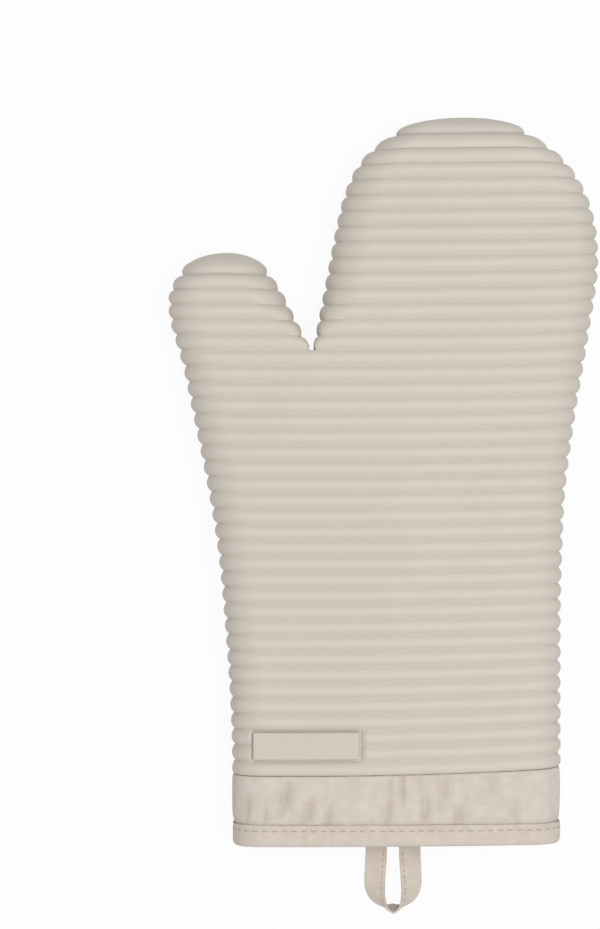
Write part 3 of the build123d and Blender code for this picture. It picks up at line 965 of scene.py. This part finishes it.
def tape_frame(share):
    """Middle of the tape and its directions across, on the left half of the loop, leg to foot."""
    foot = HEM - LOOP_DROP + TAPE_WIDTH / 2 * sin(BEND_TILT) + TAPE_THICKNESS / 2 * cos(BEND_TILT)
    bend_top = foot + BEND_HEIGHT
    if share <= LEG_SHARE:
        part = share / LEG_SHARE
        reach = (LEG_SPACING + (LEG_SPREAD - LEG_SPACING) * (1 - cos(pi * part)) / 2) / 2
        place = Vector((LOOP_X - reach, LEG_FOOT + (bend_top - LEG_FOOT) * part, 0))
        along = Vector((0, -1, 0))
        turn = LEG_TURN * part**2
    else:
        part = (share - LEG_SHARE) / (1 - LEG_SHARE)
        reach = LEG_SPREAD / 2
        round_by, down_by = cos(pi / 2 * part), sin(pi / 2 * part)
        place = Vector((LOOP_X - reach * round_by, bend_top - BEND_HEIGHT * down_by, 0))
        along = Vector((reach * down_by, -BEND_HEIGHT * round_by, 0)).normalized()
        turn = LEG_TURN + (pi / 2 - LEG_TURN) * part
    inward = Vector((0, 0, 1)).cross(along)
    upright = Vector((0, -sin(BEND_TILT), cos(BEND_TILT)))
    wide = (inward * cos(turn) + upright * sin(turn)).normalized()
    thin = along.cross(wide).normalized()
    rise = TAPE_WIDTH / 2 * abs(wide.z) + TAPE_THICKNESS / 2 * abs(thin.z)
    place.z = max(HINGE_Z, rise + FLOOR_GAP)
    return place, wide, thin


def mirrored(direction):
    return Vector((-direction.x, direction.y, direction.z))


def tape_stations():
    """Places and directions along the whole loop, from one rounded end at the hem to the other."""
    stations = []
    for turn in END_TURNS:
        y = HINGE_Y + TAPE_THICKNESS / 2 * sin(radians(turn))
        place = Vector((LOOP_X - LEG_SPACING / 2, y, HINGE_Z))
        stations.append((place, Vector((1, 0, 0)), Vector((0, 0, cos(radians(turn))))))
    stations += [tape_frame(step / LOOP_STEPS) for step in range(LOOP_STEPS + 1)]
    for place, wide, thin in reversed(stations[:-1]):
        other = Vector((2 * LOOP_X - place.x, place.y, place.z))
        stations.append((other, mirrored(wide), mirrored(thin)))
    return stations


def rounded(value, power):
    """Power of a size that keeps its sign."""
    return abs(value) ** power * (1 if value >= 0 else -1)


def hanging_loop():
    """Folded tape with a groove on both faces for the stitches along its inner edge."""
    bm = bmesh.new()
    along = bm.verts.layers.float.new("along")
    across = bm.verts.layers.float.new("across")
    number = bm.verts.layers.int.new("spot")
    stations = tape_stations()
    verts = bmesh.ops.create_circle(bm, segments=TAPE_COLUMNS, radius=1)["verts"]
    spots = []
    for index, vert in enumerate(verts):
        vert[number] = index
        angle = 2 * pi * index / TAPE_COLUMNS
        wide = TAPE_WIDTH / 2 * rounded(cos(angle), 0.55)
        spots.append((wide, TAPE_THICKNESS / 2 * rounded(sin(angle), 0.4)))
    rim = list(bm.edges)
    run = 0.0
    for station, (place, wide, thin) in enumerate(stations):
        if station:
            verts, rim = next_row(bm, rim)
            run += (place - stations[station - 1][0]).length
        for vert in verts:
            w, t = spots[vert[number]]
            groove = GROOVE_DEPTH * exp(-(((w - EDGE_ROW) / GROOVE_WIDTH) ** 2))
            vert.co = place + wide * w + thin * (t - groove * (1 if t > 0 else -1))
            vert[along] = run
            vert[across] = w
    bmesh.ops.holes_fill(bm, edges=[e for e in bm.edges if e.is_boundary], sides=0)
    bmesh.ops.recalc_face_normals(bm, faces=bm.faces)
    lay_uv(bm, along, across)
    return finished(bm, "folded_tape_loop", loop_tape)


def edge_stitches():
    """Stitches that close the folded tape along the inside of the loop, on both of its faces."""
    bm = bmesh.new()
    stations = tape_stations()
    run, next_stitch = 0.0, EDGE_START
    for (before, *_), (place, wide, thin) in zip(stations, stations[1:]):
        run += (place - before).length
        if run < next_stitch:
            continue
        next_stitch += EDGE_PITCH
        forward = (place - before).normalized()
        for face in (-1, 1):
            spot = place + wide * EDGE_ROW + thin * (face * (TAPE_THICKNESS / 2 - EDGE_SINK))
            bead(bm, EDGE_STITCH, spot, (wide, thin, forward))
    bmesh.ops.recalc_face_normals(bm, faces=bm.faces)
    return finished(bm, "tape_edge_stitches", thread)


def loop_tails():
    """Ends of the tape, sewn flat on the binding inside the mouth."""
    bm = bmesh.new()
    along = bm.verts.layers.float.new("along")
    across = bm.verts.layers.float.new("across")
    for side in (-1, 1):
        made = bmesh.ops.create_cube(bm, size=1)["verts"]
        bmesh.ops.scale(bm, vec=(TAPE_WIDTH, TAIL_LENGTH, TAPE_THICKNESS), verts=made)
        middle = (LOOP_X + side * LEG_SPACING / 2, HEM + TAIL_MIDDLE, HINGE_Z)
        bmesh.ops.translate(bm, vec=middle, verts=made)
    soften(bm, list(bm.edges), TAIL_ROUND, 2)
    for vert in bm.verts:
        vert[along] = vert.co.y
        vert[across] = vert.co.x
    lay_uv(bm, along, across)
    return finished(bm, "loop_tail_ends", loop_tape)


loop = hanging_loop()
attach(loop, "loop")
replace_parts(loop, "hanging_loop")
edge_row = edge_stitches()
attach(edge_row, "loop")
tails = loop_tails()
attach(tails, "mitt")
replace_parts(tails, "loop_tails")


# Floor, light and camera, in metres

FLOOR_SIZE, FLOOR_DROP = 6000, 0.2  # the floor alone is drawn in millimetres
FLOOR_TONES = ((0.8, 0.8, 0.8, 1), (0.82, 0.82, 0.82, 1))
FLOOR_GLOW = 0.93  # share of white in the floor as it is seen
WORLD_LIGHT, WORLD_SEEN = 0.44, 1.0
WHITE = (1, 1, 1, 1)
KEY_PLACE, KEY_SIZE, KEY_ENERGY = Vector((0.25, -0.05, 1.75)), 1.3, 19.8
KEY_AIM = Vector((0, 0.02, 0))
CAMERA_PLACE, LENS, SENSOR = (-0.0377, 0.0244, 1.5), 126.3, 36


def seen_ray(tree):
    """Socket that is 1 where a surface is seen or mirrored, and 0 where it only gives light."""
    rays = tree.nodes.new("ShaderNodeLightPath").outputs
    seen = rays["Is Camera Ray"]
    for other in ("Is Glossy Ray", "Is Transmission Ray"):
        either = tree.nodes.new("ShaderNodeMath")
        either.operation = "MAXIMUM"
        tree.links.new(seen, either.inputs[0])
        tree.links.new(rays[other], either.inputs[1])
        seen = either.outputs[0]
    return seen


def pale_floor():
    bm = bmesh.new()
    bmesh.ops.create_grid(bm, x_segments=1, y_segments=1, size=FLOOR_SIZE)
    bmesh.ops.translate(bm, vec=(0, 0, -FLOOR_DROP), verts=bm.verts)
    finish = Finish("pale_floor", 0.9, 0.0)
    finish.feed("Base Color", finish.mix(finish.speckle(3, 2), *FLOOR_TONES))
    seen = Value(finish, seen_ray(finish.tree))
    glow = finish.node("ShaderNodeEmission", {}, {"Color": WHITE, "Strength": 1.0})
    plain = Value(finish, finish.shader.outputs[0])
    mixed = finish.node("ShaderNodeMixShader", {}, {0: seen * FLOOR_GLOW, 1: plain, 2: glow})
    surface_socket = finish.tree.nodes["Material Output"].inputs["Surface"]
    finish.tree.links.new(mixed.socket, surface_socket)
    floor = finished(bm, "pale_floor", finish.material)


def soft_key():
    lamp = bpy.data.lights.new("soft_key", "AREA")
    lamp.shape = "DISK"
    lamp.size = KEY_SIZE
    lamp.energy = KEY_ENERGY
    holder = bpy.data.objects.new("soft_key", lamp)
    holder.location = KEY_PLACE
    holder.rotation_euler = (KEY_AIM - KEY_PLACE).to_track_quat("-Z", "Y").to_euler()
    bpy.context.scene.collection.objects.link(holder)


def studio_world():
    """Even light from all round, white where it is seen."""
    world = bpy.data.worlds.new("studio")
    bpy.context.scene.world = world
    world.use_nodes = True
    tree = world.node_tree
    back = tree.nodes["Background"]
    back.inputs["Color"].default_value = WHITE
    level = tree.nodes.new("ShaderNodeMapRange")
    tree.links.new(seen_ray(tree), level.inputs["Value"])
    level.inputs["To Min"].default_value = WORLD_LIGHT
    level.inputs["To Max"].default_value = WORLD_SEEN
    tree.links.new(level.outputs["Result"], back.inputs["Strength"])


pale_floor()
soft_key()
studio_world()
eye = bpy.data.cameras.new("eye")
eye.lens = LENS
eye.sensor_width = SENSOR
camera = bpy.data.objects.new("eye", eye)
camera.location = CAMERA_PLACE
bpy.context.scene.collection.objects.link(camera)
bpy.context.scene.camera = camera
bpy.context.scene.view_settings.view_transform = "Standard"
